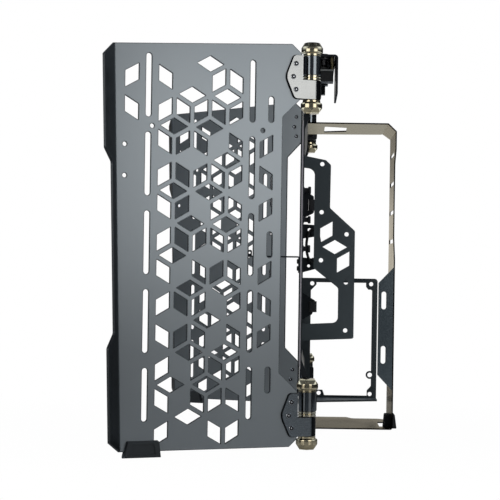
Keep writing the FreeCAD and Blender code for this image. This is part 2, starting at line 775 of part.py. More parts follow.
mirrored("left_wing_panel", right_wing_panel)
mirrored("left_wing_foot", right_wing_foot)
mirrored("left_leaf_screws", keep("right_leaf_screws", grouped("right_leaf_screws", leaf_screws)))
mirrored("left_leaf_nuts", keep("right_leaf_nuts", grouped("right_leaf_nuts", leaf_nuts)))
left_ear_screws = doc.addObject("Part::Mirroring", "left_ear_screws")
right_ear_screws = grouped("right_ear_screws", ear_screws)
left_ear_screws.Source = right_ear_screws
left_ear_screws.Normal = Vector(0, 1, 0)
keep("ear_block_screws", grouped("ear_block_screws", [right_ear_screws, left_ear_screws]))

# Accessory bracket: an upright plate with a bent flange at each arm and 50 mm hole rows

accessory_points = [
    (front_x, 300.3), (16.2, 295.6), (21.6, 290.6), (21.2, 245.8), (s.accessory_reach, 222.3),
    (s.accessory_reach, 110.4), (s.accessory_reach - 3.6, 110.0), (front_x, 107.6), (front_x, 124.6),
    (30.9, 126.7), (30.8, 162.8), (4.9, 183.2), (4.8, 286.0), (front_x, 287.6),
]
accessory_loop = polygon([(x, lift(z)) for x, z in accessory_points],
                         {1: 3, 2: 3, 3: 3, 4: 3, 5: 3, 9: 6, 10: 4, 12: 8})
accessory_openings = []
for i in range(3):
    accessory_openings.append(circle(12.5, lift(291.4 - i * s.accessory_pitch), s.accessory_hole))
    accessory_openings.append(circle(38.8, lift(218.7 - i * s.accessory_pitch), s.accessory_hole))
bracket_web = s.cell_web + 0.7
bracket_opening = s.cell - bracket_web / math.cos(math.radians(30))
for kind, x, z in (("L", 17.7, 220.8), ("D", 26.65, 205.3), ("L", 35.6, 189.8)):
    accessory_openings.append(rhomb(kind, x, lift(z), bracket_opening))


def flange(name, y, low, high, x, holes):
    """A bracket's flange on the core panel's front face, turned away from the camera side."""
    loop = polygon([(y, low), (y + FLANGE, low + 1.5), (y + FLANGE, high - 1.5), (y, high)])
    drilled = [circle(hole_y, hole_z, screw_clear) for hole_y, hole_z in holes if low < hole_z < high]
    return prism(name, [loop] + drilled, "sizes.bracket_sheet", core_at(x, 0, 0, ALONG_X))


accessory_plate = prism("accessory_plate", [accessory_loop] + accessory_openings, "sizes.bracket_sheet",
                        core_at(0, accessory_y + s.bracket_sheet, 0, ALONG_Y))
accessory_flanges = [
    flange("accessory_flange_high", accessory_y, lift(287.6), lift(300.3), front_x, accessory_screws),
    flange("accessory_flange_low", accessory_y, lift(107.6), lift(124.6), front_x, accessory_screws),
]
keep("accessory_bracket", joined("accessory_bracket", [accessory_plate] + accessory_flanges))

# Power supply bracket: a frame round the supply's face, with a shelf under it

hole_right_x = s.supply_left_x + s.supply_span_x
hole_high_z = s.supply_low_z + s.supply_span_z
bar_right = s.supply_reach - 6.8
supply_loop = polygon([
    (band_front_x, s.supply_bottom), (s.supply_reach, s.supply_bottom), (s.supply_reach, s.supply_top),
    (front_x, s.supply_top), (front_x, s.jog_low_end + step), (band_front_x, s.jog_low + step),
], {2: 4})
supply_window = polygon([
    (4.4, hole_high_z - 8.5), (s.supply_left_x + 5.4, hole_high_z - 1.5), (s.supply_left_x + 5.4, 166.8),
    (hole_right_x - 6.4, 166.8), (hole_right_x - 6.4, hole_high_z - 3.5),
    (hole_right_x - 3.4, hole_high_z - 7.0), (bar_right, hole_high_z - 7.0),
    (bar_right, s.supply_low_z + 10.0), (hole_right_x - 3.7, s.supply_low_z + 4.6),
    (hole_right_x - 3.7, 25.2), (23.0, 25.2), (20.5, s.supply_low_z + 4.6),
    (12.0, s.supply_low_z + 4.6), (9.0, 25.2), (4.4, 25.2),
], {1: 2, 4: 3, 5: 1, 6: 2, 7: 2, 8: 2})
supply_holes = [
    (s.supply_left_x, hole_high_z), (hole_right_x, hole_high_z), (hole_right_x, s.supply_low_z),
    (s.supply_left_x + 10.0, s.supply_low_z + 0.6),
]
ring_z = s.supply_low_z + 24.0
supply_circles = [circle(x, z, s.supply_hole) for x, z in supply_holes]
supply_plate = prism("supply_plate", [supply_loop, supply_window] + supply_circles, "sizes.bracket_sheet",
                     core_at(0, supply_y + s.bracket_sheet, 0, ALONG_Y))
ring_disc = prism("supply_ring", [circle(hole_right_x - 0.3, ring_z, 10.0)], "sizes.bracket_sheet",
                  core_at(0, supply_y + s.bracket_sheet, 0, ALONG_Y))
ring_hole = prism("supply_ring_hole", [circle(hole_right_x - 0.3, ring_z, s.supply_hole + 0.6)],
                  "sizes.bracket_sheet + 2", core_at(0, supply_y + s.bracket_sheet + 1, 0, ALONG_Y))
shelf_loop = polygon([
    (6.0, supply_y + 1), (s.supply_reach, supply_y + 1), (s.supply_reach, supply_y - 25.0),
    (6.0, supply_y - 54.0),
])
shelf = prism("supply_shelf", [shelf_loop], "sizes.bracket_sheet", core_at(0, 0, s.supply_bottom))
supply_flanges = [
    flange("supply_flange_high", supply_y, 98.0, s.supply_top, front_x, supply_screws),
    flange("supply_flange_low", supply_y, 24.0, 66.0, band_front_x, supply_screws),
]
supply_blank = joined("supply_blank", [supply_plate, ring_disc, shelf] + supply_flanges)
keep("psu_bracket", cut("psu_bracket", supply_blank, [ring_hole]))

# Hoop stand: one strip bent round into a loop, with a slotted tab on its near edge

hoop_low = s.hoop_clear
hoop_in_x = s.hoop_reach - s.hoop_sheet
top_in = hoop_top - s.hoop_sheet
low_in = hoop_low + s.hoop_sheet
chamfer = s.hoop_chamfer
inner_chamfer = chamfer - s.hoop_sheet * 0.6
flange_rise = 17.0
hoop_loop = polygon([
    (band_front_x, hoop_top + flange_rise), (band_front_x, top_in),
    (hoop_in_x - inner_chamfer, top_in), (hoop_in_x, top_in - inner_chamfer + 0.6),
    (hoop_in_x, low_in), (band_front_x + s.hoop_sheet, low_in),
    (band_front_x + s.hoop_sheet, low_in + flange_rise + 16),
    (band_front_x, low_in + flange_rise + 16), (band_front_x, hoop_low),
    (s.hoop_reach, hoop_low), (s.hoop_reach, hoop_top - chamfer + 0.6),
    (s.hoop_reach - chamfer, hoop_top), (band_front_x + s.hoop_sheet, hoop_top),
    (band_front_x + s.hoop_sheet, hoop_top + flange_rise),
], {4: 1.5, 9: 3.0, 10: 2, 11: 2})
hoop_far = s.hoop_near + s.hoop_width
hoop_strip = prism("hoop_strip", [hoop_loop], "sizes.hoop_width", core_at(0, hoop_far, 0, ALONG_Y))
side_slots = [rectangle(38.9, hoop_top - 32.1 - i * 33.75, 74.2, 5.0, 1.5) for i in range(4)]
flange_holes = [circle(y, z, screw_clear) for y, z in hoop_screws]
side_tool = prism("hoop_side_tool", side_slots, "sizes.hoop_sheet + 2", core_at(hoop_in_x - 1, 0, 0, ALONG_X))
flange_tool = prism("hoop_flange_tool", flange_holes, "sizes.hoop_sheet + 2",
                    core_at(band_front_x - 1, 0, 0, ALONG_X))
top_slot = polygon([(17.0, 13.6), (43.0, 24.2), (43.5, 70.1), (17.0, 83.0)], {i: 1.5 for i in range(4)})
low_slot = rectangle(s.hoop_reach - 9.7, 27.1, 8.8, 53.2, 1.5)
top_tool = prism("hoop_top_tool", [top_slot], "sizes.hoop_sheet + 2", core_at(0, 0, top_in - 1))
low_tool = prism("hoop_low_tool", [low_slot], "sizes.hoop_sheet + 2", core_at(0, 0, hoop_low - 1))

# The strip's near edge steps back above the tab, and its far edge is drawn in towards the right side
notch_y = s.hoop_near + s.hoop_notch
notch_loop = polygon([
    (s.hoop_near - 1, hoop_top - 29.3), (notch_y, hoop_top - 44.0),
    (notch_y, 221.0), (s.hoop_near - 1, 192.7),
], {1: 8, 2: 12})
notch_tool = prism("hoop_notch_tool", [notch_loop], "sizes.hoop_sheet + 2",
                   core_at(hoop_in_x - 1, 0, 0, ALONG_X))
waist_y = hoop_far - s.hoop_waist
outside_x = s.hoop_reach + 1
outside_y = hoop_far + 1
split_z = hoop_top - 60
waist_top_loop = polygon([
    (12.0, outside_y), (12.0, hoop_far), (s.hoop_reach - 12.8, hoop_far - 6.7),
    (hoop_in_x - 1, waist_y), (outside_x, waist_y), (outside_x, outside_y),
])
waist_low_loop = polygon([
    (48.0, outside_y), (50.0, hoop_far), (56.0, hoop_far - 15.5), (s.hoop_reach - 10.8, hoop_far - 15.5),
    (hoop_in_x - 1, waist_y), (outside_x, waist_y), (outside_x, outside_y),
], {1: 8, 2: 8})
waist_top = prism("hoop_waist_top", [waist_top_loop], "sizes.wing_top_outer / 2", core_at(0, 0, split_z))
waist_low = prism("hoop_waist_low", [waist_low_loop], "sizes.wing_top_outer - sizes.hoop_drop - 59",
                  core_at(0, 0, -1))
tab_right = hoop_in_x + 0.5
tab_left = s.hoop_reach - 18.5
tab_loop = polygon([(tab_left, 63.2), (tab_right, 44.8), (tab_right, 186.2), (tab_left, 167.9)])
tab_slots = [slot(s.hoop_reach - 12.2, z, 20.2, 5.3) for z in (148.0, 86.0)]
hoop_tab = prism("hoop_tab", [tab_loop] + tab_slots, "sizes.hoop_sheet",
                 core_at(0, s.hoop_near + s.hoop_sheet, 0, ALONG_Y))
hoop_tools = [side_tool, flange_tool, top_tool, low_tool, notch_tool, waist_top, waist_low]
pierced_strip = cut("pierced_strip", hoop_strip, hoop_tools)
keep("hoop_stand", joined("hoop_stand", [pierced_strip, hoop_tab]))

# Hoop feet: rubber shoes on the two lower corners. The near one grips through the lower slot,
# the far one sits outside the corner and under the arm.

foot_low_left = s.hoop_reach - 9.8
foot_low_right = s.hoop_reach + 5.8
foot_high_right = s.hoop_reach + 3.5
near_foot_loop = polygon([
    (foot_low_left, 0), (foot_low_right, 0), (foot_high_right, s.hoop_foot_height),
    (s.hoop_reach - 8.3, s.hoop_foot_height),
], {1: 1, 2: 1.5, 3: 1.5})
far_foot_loop = polygon([
    (foot_low_left, 0), (foot_low_right, 0), (foot_high_right, s.hoop_foot_height),
    (hoop_in_x + 0.5, s.hoop_foot_height), (hoop_in_x + 0.5, hoop_low + 0.5),
    (foot_low_left, hoop_low + 0.5),
], {1: 1, 2: 1.5})
for name, y, loop in (("near", notch_y, near_foot_loop), ("far", waist_y - s.hoop_foot_depth, far_foot_loop)):
    shoe = prism("hoop_foot_%s_body" % name, [loop], "sizes.hoop_foot_depth",
                 core_at(0, y + s.hoop_foot_depth, 0, ALONG_Y))
    keep("hoop_foot_%s" % name, cut("hoop_foot_%s_cut" % name, shoe, [pierced_strip]))

# Card support: a thin arm behind the panel with an eye at its end

arm_z = 195.6
arm_sheet = 1.6
arm_end = -70.4
arm_loop = polygon([
    (back_x, 178.0), (back_x, arm_z + arm_sheet), (arm_end, arm_z + arm_sheet), (arm_end, arm_z),
    (back_x - arm_sheet, arm_z), (back_x - arm_sheet, 178.0),
], {1: 2})
arm_far = support_y + s.support_depth / 2
arm = prism("card_arm", [arm_loop], "sizes.support_depth", core_at(0, arm_far, 0, ALONG_Y))
eye_loop = polygon([
    (arm_end, arm_z), (arm_end + 5.4, arm_z), (arm_end + 5.4, 203.6), (arm_end, 203.6),
], {2: 1.5, 3: 1.5})
eye = prism("card_eye", [eye_loop, circle(arm_end + 2.7, 200.4, 2.4)], "sizes.bracket_sheet",
            core_at(0, arm_far - s.support_depth + s.bracket_sheet, 0, ALONG_Y))
arm_holes = prism("card_arm_holes", [circle(y, z, screw_clear) for y, z in support_screws],
                  "sizes.bracket_sheet + 2", core_at(back_x - arm_sheet - 1, 0, 0, ALONG_X))
keep("card_support", cut("card_support", joined("card_support_blank", [arm, eye]), [arm_holes]))

# Screws that hold the brackets, the hoop, the ports block and the card support to the core panel

FORWARD = Rotation(Vector(0, 1, 0), 90)  # turns a screw's z to +X
BACKWARD = Rotation(Vector(0, 1, 0), -90)
panel_screws = []


def panel_screw(y, z, surface, grip, turn=FORWARD):
    """One button head screw through a flange of the given grip."""
    start = surface - (grip if turn == FORWARD else -grip)
    panel_screws.append(make_screw("panel_screw_%d" % len(panel_screws), core_at(start, y, z, turn), grip,
                                   s.screw_head, s.screw_head_height, s.screw_radius))


bracket_grip = s.bracket_sheet + s.core_sheet
for y, z in accessory_screws + supply_screws[:2]:
    panel_screw(y, z, front_x + s.bracket_sheet, bracket_grip)
for y, z in supply_screws[2:]:
    panel_screw(y, z, band_front_x + s.bracket_sheet, bracket_grip)
for y, z in hoop_screws:
    panel_screw(y, z, band_front_x + s.hoop_sheet, s.hoop_sheet + s.core_sheet)
for y, z in io_screws:
    panel_screw(y, z, band_front_x + s.io_sheet, s.io_sheet + s.core_sheet)
for y, z in support_screws:
    panel_screw(y, z, back_x - arm_sheet, arm_sheet + s.core_sheet, BACKWARD)
keep("panel_screws", grouped("panel_screws", panel_screws))

# Ports block: a folded housing on the panel's upper edge, with a circuit board hung inside it

io_far = io_near + s.io_width
io_under = io_top - s.io_sheet
io_loop = polygon([
    (band_front_x, io_top - 28.2), (band_front_x, io_top), (s.io_reach, io_top),
    (s.io_reach, io_top - s.io_skirt), (s.io_reach - s.io_sheet, io_top - s.io_skirt),
    (s.io_reach - s.io_sheet, io_under), (band_front_x + s.io_sheet, io_under),
    (band_front_x + s.io_sheet, io_top - 28.2),
], {1: 2.5, 2: 3.5, 5: 1.5, 6: 0.5})
PORT_X = 12.0
power_y = io_near + 14.0
reset_y = io_near + 28.0
jack_y = io_near + 40.0
type_c_y = io_near + 51.0
usb_ys = (io_near + 64.0, io_near + 78.0)
POWER_CAP = 11.0
RESET_CAP = 5.0
JACK_OUTER = 6.4
USB_SHELL = (13.2, 5.8)
TYPE_C_SHELL = (9.0, 3.3)
fit = 0.3
top_openings = [
    circle(PORT_X, power_y, POWER_CAP + 2 * fit),
    circle(PORT_X, reset_y, RESET_CAP + 2 * fit),
    circle(PORT_X, jack_y, JACK_OUTER + 2 * fit),
    slot(PORT_X, type_c_y, TYPE_C_SHELL[0] + 2 * fit, TYPE_C_SHELL[1] + 2 * fit, upright=False),
]
top_openings += [rectangle(PORT_X, y, USB_SHELL[0] + 2 * fit, USB_SHELL[1] + 2 * fit) for y in usb_ys]
io_strip = prism("io_strip", [io_loop], "sizes.io_width", core_at(0, io_far, 0, ALONG_Y))
io_top_tool = prism("io_top_tool", top_openings, "sizes.io_sheet + 2", core_at(0, 0, io_under - 1))
io_flange_tool = prism("io_flange_tool", [circle(y, z, screw_clear) for y, z in io_screws],
                       "sizes.io_sheet + 2", core_at(band_front_x - 1, 0, 0, ALONG_X))
keep("io_housing", cut("io_housing", io_strip, [io_top_tool, io_flange_tool]))

io_board_top = io_top - s.io_board_drop
board_low = io_board_top - s.io_board
board_near = io_near + 4.0
board_far = io_far - 4.0
board_loop = rectangle((0.5 + s.io_reach - 4.0) / 2, (board_near + board_far) / 2, s.io_reach - 4.5,
                       board_far - board_near, 1)
keep("io_board", prism("io_board", [board_loop], "sizes.io_board", core_at(0, 0, board_low)))

post_x = (3.4, s.io_reach - 6.0)
posts = []
for x in post_x:
    for y in (board_near + 3.0, board_far - 3.0):
        posts.append(rod("io_post_%d" % len(posts), "2", "sizes.io_board_drop - sizes.io_sheet",
                         core_at(x, y, io_board_top)))
keep("io_spacers", grouped("io_spacers", posts))


def make_port(name, outer, cavity, tongue, y):
    """A socket that stands on the board and opens upwards, flush with the housing."""
    tall = "sizes.io_board_drop"
    shell = prism(name + "_shell", [outer], tall, core_at(PORT_X, y, io_board_top))
    hollow = prism(name + "_hollow", [cavity], tall, core_at(PORT_X, y, io_board_top + 3.0))
    pierced = cut(name + "_pierced", shell, [hollow])
    if tongue is None:
        return pierced
    blade = prism(name + "_blade", [tongue], tall + " - 1.2", core_at(PORT_X, y, io_board_top))
    return joined(name, [pierced, blade])


usb_ports = []
for i, y in enumerate(usb_ys):
    usb_ports.append(make_port("usb_a_%d" % i, rectangle(0, 0, USB_SHELL[0], USB_SHELL[1], 0.5),
                               rectangle(0, 0, USB_SHELL[0] - 0.8, USB_SHELL[1] - 0.8, 0.2),
                               rectangle(0, 1.0, USB_SHELL[0] - 2.4, 1.8), y))
keep("usb_a_ports", grouped("usb_a_ports", usb_ports))
keep("usb_c_port", make_port("usb_c_port", slot(0, 0, TYPE_C_SHELL[0], TYPE_C_SHELL[1], upright=False),
                             slot(0, 0, TYPE_C_SHELL[0] - 0.7, TYPE_C_SHELL[1] - 0.7, upright=False),
                             rectangle(0, 0, 6.6, 0.7), type_c_y))
keep("audio_jack", make_port("audio_jack", circle(0, 0, JACK_OUTER), circle(0, 0, 3.6), None, jack_y))

# Header sockets hang under the board in steps: (low x, high x, near y, far y, height)
HEADERS = ((9.0, 22.1, 1.0, 20.0, 10.6), (9.0, 17.0, 22.0, 34.0, 11.6), (9.0, 14.4, 36.0, 46.0, 19.5))
headers = []
for i, (low_x, high_x, near_y, far_y, height) in enumerate(HEADERS):
    mid_y = board_near + (near_y + far_y) / 2
    loop = rectangle((low_x + high_x) / 2, mid_y, high_x - low_x, far_y - near_y, 0.8)
    headers.append(prism("header_%d" % i, [loop], "%.1f" % height, core_at(0, 0, board_low - height)))
keep("header_sockets", grouped("header_sockets", headers))

# Buttons: each cap slides in the housing's hole and presses a switch on the board

switches = []
for name, y, cap in (("power", power_y, POWER_CAP), ("reset", reset_y, RESET_CAP)):
    body = prism(name + "_switch_body", [rectangle(PORT_X, y, 6.0, 6.0, 0.5)], "sizes.switch_body",
                 core_at(0, 0, io_board_top))
    plunger = prism(name + "_switch_plunger", [circle(PORT_X, y, 3.0)], "sizes.switch_rise",
                    core_at(0, 0, io_board_top))
    switches.append(joined(name + "_switch", [body, plunger]))
    cap_low = io_board_top + s.switch_rise + s.button_travel + 0.3
    rim_low = io_under - 0.3 - 1.2
    r = cap / 2
    top = io_top + 2.0
    profile = [
        (0, cap_low), (min(2.2, r - 0.5), cap_low), (min(2.2, r - 0.5), rim_low), (r + 1.2, rim_low),
        (r + 1.2, rim_low + 1.2), (r, rim_low + 1.2), (r, top - 0.6), (r - 0.6, top), (0, top - 0.2),
    ]
    keep(name + "_button", turned(name + "_button", profile, core_at(PORT_X, y, 0)))
keep("button_switches", grouped("button_switches", switches))

# Cable tidying on the panel's front face

BOBBIN_Y = -72.0
bobbins = []
for i, z in enumerate((269.4, 236.8, 204.7)):
    x_turn = FORWARD * Rotation(Vector(0, 0, 1), 90)
    profile = [(0, 0), (4.3, 0), (4.3, 2.0), (2.7, 2.8), (2.7, 6.2)]
    profile += [(4.1, 7.0), (4.1, 9.2), (3.5, 9.8), (0, 9.8)]
    bobbins.append(turned("bobbin_%d" % i, profile, core_at(front_x, BOBBIN_Y, z, x_turn)))
keep("cable_bobbins", grouped("cable_bobbins", bobbins))

HOOK_Y = -46.0
HOOK_X = 8.0
BAND_X = 4.9
band_mid = 208.6
band_rise = 19.9
band_reach = 9.0
band_radius = 1.5
PEG_ROOM = 0.3
hooks = []
for i, (side, peg_radius, outline, radii, hole) in enumerate((
    (1, 2.6, ((0, 216.3), (HOOK_X, 219.0), (HOOK_X + 5, 228.0), (HOOK_X - 2, 231.8), (0, 232.6)),
     {1: 2, 2: 3}, circle(0.6, 226.4, 4.0)),
    (-1, 1.6, ((0, 178.2), (HOOK_X, 182.6), (HOOK_X + 5, 190.0), (HOOK_X, 194.0), (0, 195.6)), {1: 2, 2: 3},
     circle(0.2, 186.0, 3.2)),
)):
    corners = [(x if x else front_x, z) for x, z in outline]
    plate = prism("hook_plate_%d" % i, [polygon(corners, radii), hole], "sizes.hook_depth",
                  core_at(0, HOOK_Y, 0, ALONG_Y))
    peg_rise = band_rise - 2 * band_radius - peg_radius - PEG_ROOM
    peg = prism("hook_peg_%d" % i, [circle(BAND_X, band_mid + side * peg_rise, 2 * peg_radius)],
                "sizes.peg_depth", core_at(0, HOOK_Y, 0, ALONG_Y))
    hooks.append(joined("band_hook_%d" % i, [plate, peg]))
keep("band_hooks", grouped("band_hooks", hooks))

# Retaining band: a round elastic ring stretched over both pegs

band_y = HOOK_Y - s.hook_depth - band_radius - PEG_ROOM
band_long = band_rise - band_radius
band_path = Part.Wire(Part.Ellipse(Vector(), band_long, band_reach - band_radius).toShape())
band_section = Part.Wire(Part.Circle(Vector(band_long, 0, 0), Vector(0, 1, 0), band_radius).toShape())
retaining_band = doc.addObject("Part::Feature", "retaining_band")
retaining_band.Shape = band_path.makePipeShell([band_section], True, True)
retaining_band.Placement = core_at(BAND_X, band_y, band_mid, ALONG_Y * Rotation(Vector(0, 0, 1), 90))
keep("retaining_band", retaining_band)

# Straps: a flat loop through each tie tab's slot and round its outer bar

straps = []
strap_y = TAB_Y + s.core_sheet / 2
for i, ((slot_x, slot_z), reach) in enumerate(zip(strap_places, (6.9, 9.8))):
    x_low = slot_x - TAB_SLOT / 2 + STRAP_FIT
    width = reach - x_low
    outer = rectangle(x_low + width / 2, strap_y, width, 6.6, 2)
    inner = rectangle(x_low + width / 2, strap_y, width - 2.4, 4.2, 1)
    straps.append(prism("tie_strap_%d" % i, [outer, inner], "sizes.strap_height",
                        core_at(0, 0, slot_z - s.strap_height / 2)))
keep("tie_straps", grouped("tie_straps", straps))

# Check and export

doc.recompute()
failed = [item.Name for item in doc.Objects if "Invalid" in item.State or "Error" in item.State]
if failed:
    raise RuntimeError("failed features: " + ", ".join(failed))
for node in nodes:
    if node.Shape.isNull() or not node.Shape.isValid() or not node.Shape.Solids:
        raise RuntimeError("bad shape: " + node.Label)
for node in nodes:
    node.Shape.exportStep("parts/%s.step" % node.Label)
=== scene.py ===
"""Looks for the open air test bench: satin painted sheet metal, polished black hinge barrels,
champagne knobs and rubber feet, lit by two soft boxes against a white backdrop."""

import json
import math

import bpy
import numpy as np
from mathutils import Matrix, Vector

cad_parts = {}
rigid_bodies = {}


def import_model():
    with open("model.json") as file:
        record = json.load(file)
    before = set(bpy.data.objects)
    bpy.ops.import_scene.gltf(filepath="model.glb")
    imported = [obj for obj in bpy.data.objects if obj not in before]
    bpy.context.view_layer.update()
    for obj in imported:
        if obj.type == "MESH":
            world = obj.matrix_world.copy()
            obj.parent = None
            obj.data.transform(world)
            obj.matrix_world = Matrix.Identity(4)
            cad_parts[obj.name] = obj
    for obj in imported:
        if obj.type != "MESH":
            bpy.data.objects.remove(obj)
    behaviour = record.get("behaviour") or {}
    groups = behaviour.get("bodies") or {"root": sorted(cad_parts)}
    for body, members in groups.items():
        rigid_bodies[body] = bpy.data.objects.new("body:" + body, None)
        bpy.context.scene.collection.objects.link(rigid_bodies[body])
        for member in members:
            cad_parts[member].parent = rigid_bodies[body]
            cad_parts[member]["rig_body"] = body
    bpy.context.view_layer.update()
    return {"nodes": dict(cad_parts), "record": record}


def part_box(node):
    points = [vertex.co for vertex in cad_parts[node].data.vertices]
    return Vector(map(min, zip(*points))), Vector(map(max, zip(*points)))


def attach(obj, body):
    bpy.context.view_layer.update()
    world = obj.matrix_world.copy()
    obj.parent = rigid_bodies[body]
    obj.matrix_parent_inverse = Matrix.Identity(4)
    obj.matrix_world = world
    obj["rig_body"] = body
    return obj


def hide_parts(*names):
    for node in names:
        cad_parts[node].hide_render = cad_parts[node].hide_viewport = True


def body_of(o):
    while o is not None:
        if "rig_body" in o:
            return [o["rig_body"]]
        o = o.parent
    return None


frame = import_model()
nodes = frame["nodes"]

MM = 0.001

# Where the construction's faces lie. The hinge axes stand upright at AXIS_X, one at HINGE_Y and
# one at -HINGE_Y, and SPLAY is how far each wing is swung outwards from square to the panel.
AXIS_X = 45.03 * MM
HINGE_Y = 235 * MM
SPLAY = math.radians(21.76)

# Out of the hinge axis, square to the wing
WING_SHEET = 2.5 * MM
WING_MIDDLE = 4.55 * MM  # the middle of the sheet
FLANGE_START = 6.3 * MM  # the flange folded at the wing's free edge lies past this
LEAF_FACE = 8.8 * MM  # the flat face of a hinge leaf
DRIVE_OUT = 9.7 * MM  # the faces of the leaf's screws
NUT_OUT = 1.9 * MM  # the backs of their nuts

# The tab folded from the hoop's near edge, and the inner face of the strip beside it
TAB_INSIDE = -20.5 * MM
TAB_MIDDLE = 115.5 * MM
TAB_HALF_HEIGHT = 72 * MM
HOOP_INSIDE = AXIS_X + 97.3 * MM

# The end of the core panel: its outer corner from one x to the next, and the ear's corner
PANEL_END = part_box("core_panel")[1][1]
CORNER_START = AXIS_X - 8.9 * MM
CORNER_END = AXIS_X - 7.2 * MM
EAR_CORNER = AXIS_X + 6.7 * MM

HOUSING_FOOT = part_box("io_housing")[0][2]
RIBS_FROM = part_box("right_upper_top_knob")[0][2] + 9.2 * MM
BOARD_MIDDLE = (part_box("io_board")[0][2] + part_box("io_board")[1][2]) / 2

RIBS = 36  # round the taper of an upper top knob


# Materials: every finish starts from the same plain shader and adds its own grain


class Tree:
    """A node tree, with short calls that add its nodes and fill their sockets."""

    def __init__(self, tree):
        self.tree = tree

    def give(self, socket, value):
        """Sets a socket to a number, a vector or a colour, or links it to another node's output."""
        if isinstance(value, bpy.types.NodeSocket):
            self.tree.links.new(value, socket)
        else:
            socket.default_value = (*value, 1) if socket.type == "RGBA" else value

    def fill(self, made, **settings):
        """Sets properties, whose names start small, and sockets, which start with a capital."""
        for name, value in settings.items():
            if name[0].islower():
                setattr(made, name, value)
            else:
                self.give(made.inputs[name.replace("_", " ")], value)
        return made

    def node(self, kind, **settings):
        return self.fill(self.tree.nodes.new("ShaderNode" + kind), **settings)

    def math(self, operation, first, second=0.0):
        made = self.node("Math", operation=operation)
        self.give(made.inputs[0], first)
        self.give(made.inputs[1], second)
        return made.outputs["Value"]

    def product(self, first, *others):
        for other in others:
            first = self.math("MULTIPLY", first, other)
        return first

    def ramp(self, value, start, end, low=0.0, high=1.0, kind="LINEAR"):
        """Low up to start, high from end on, and a ramp or a smooth step between."""
        made = self.node("MapRange", interpolation_type=kind, Value=value, From_Min=start,
                         From_Max=end, To_Min=low, To_Max=high)
        return made.outputs["Result"]

    def split(self, vector):
        made = self.node("SeparateXYZ", Vector=vector)
        return [made.outputs[axis] for axis in "XYZ"]

    def blend(self, factor, first, second):
        """The colour between two others by factor."""
        mix = self.node("Mix", data_type="RGBA", Factor=factor)
        for name, color in (("A", first), ("B", second)):
            spots = [spot for spot in mix.inputs if spot.name == name and spot.type == "RGBA"]
            self.give(spots[0], color)
        return [spot for spot in mix.outputs if spot.type == "RGBA"][0]

    def mix_shaders(self, factor, first, second):
        made = self.node("MixShader", Fac=factor)
        self.give(made.inputs[1], first)
        self.give(made.inputs[2], second)
        return made.outputs["Shader"]


def shade(color, factor):
    return tuple(channel * factor for channel in color)


class Finish(Tree):
    """A material being made; further names set sockets of its shader."""

    def __init__(self, name, color, roughness, metallic=0.0, **sockets):
        self.material = bpy.data.materials.new(name)
        self.material.use_nodes = True
        super().__init__(self.material.node_tree)
        self.shader = self.tree.nodes["Principled BSDF"]
        self.surface(Base_Color=color, Roughness=roughness, Metallic=metallic, **sockets)
        self.place = self.node("TexCoord").outputs["Object"]

    def surface(self, **sockets):
        self.fill(self.shader, **sockets)

    def noise(self, scale, detail=2.0, stretch=None):
        """Noise over the object's own metres; stretch packs it closer along some axes."""
        place = self.place
        if stretch:
            place = self.node("Mapping", Scale=stretch, Vector=place).outputs["Vector"]
        return self.node("TexNoise", Scale=scale, Detail=detail, Vector=place).outputs["Fac"]

    def turned_lines(self):
        """Faint lines round an upright piece, as a cutter leaves them."""
        return self.noise(160, stretch=(1, 1, 60))

    def wander(self, noise, low, high):
        """A value that wanders between low and high with the noise."""
        return self.ramp(noise, 0.3, 0.7, low, high)

    def clouded(self, noise, color, darker, lighter):
        """A colour that wanders between two of its shades with the noise."""
        return self.blend(self.wander(noise, 0, 1), shade(color, darker), shade(color, lighter))

    def out_of_wing(self):
        """How far a point of either wing stands out of the hinge axis, square to the wing:
        |y| cos(splay) + x sin(splay), less the same for the axis."""
        x, y, _ = self.split(self.place)
        across = self.math("MULTIPLY", self.math("ABSOLUTE", y), math.cos(SPLAY))
        along = self.math("MULTIPLY", x, math.sin(SPLAY))
        axis = HINGE_Y * math.cos(SPLAY) + AXIS_X * math.sin(SPLAY)
        return self.math("SUBTRACT", self.math("ADD", across, along), axis)

    def off_edges(self, width):
        """1 on open faces, falling to 0 within a width of a sharp edge."""
        rounded = self.node("Bevel", samples=6, Radius=width)
        flat = self.node("NewGeometry")
        turned = self.node("VectorMath", operation="DOT_PRODUCT")
        self.give(turned.inputs[0], rounded.outputs["Normal"])
        self.give(turned.inputs[1], flat.outputs["Normal"])
        return self.ramp(turned.outputs["Value"], 0.96, 0.995)

    def bump(self, factor, strength, depth):
        """Raises the surface by factor; depth is in metres."""
        bump = self.node("Bump", Strength=strength, Distance=depth, Height=factor)
        self.surface(Normal=bump.outputs["Normal"])

    def orange_peel(self, strength, depth):
        """The fine waves of sprayed paint."""
        self.bump(self.noise(1400, 3), strength, depth)


def powder_coat(name, color, roughness):
    """Baked powder paint with a slow drift in shade and gloss."""
    finish = Finish(name, color, roughness)
    drift = finish.noise(9)
    finish.surface(Base_Color=finish.clouded(drift, color, 0.93, 1.06),
                   Roughness=finish.wander(drift, roughness - 0.03, roughness + 0.04))
    finish.orange_peel(0.35, 0.03 * MM)
    return finish.material


def anodised(name, color, roughness):
    """Anodised or turned metal with faint lines along the way it was cut."""
    finish = Finish(name, color, roughness, 1.0)
    lines = finish.turned_lines()
    finish.surface(Base_Color=finish.clouded(finish.noise(60), color, 0.92, 1.05),
                   Roughness=finish.wander(lines, roughness - 0.04, roughness + 0.05))
    finish.bump(lines, 0.15, 0.01 * MM)
    return finish.material


def moulded(name, color, roughness):
    """Moulded rubber or plastic with a fine spark-eroded grain."""
    finish = Finish(name, color, roughness)
    cloud = finish.noise(35)
    finish.surface(Base_Color=finish.clouded(cloud, color, 0.85, 1.15),
                   Roughness=finish.wander(cloud, roughness - 0.05, roughness + 0.06))
    finish.bump(finish.noise(900, 4), 0.4, 0.04 * MM)
    return finish.material


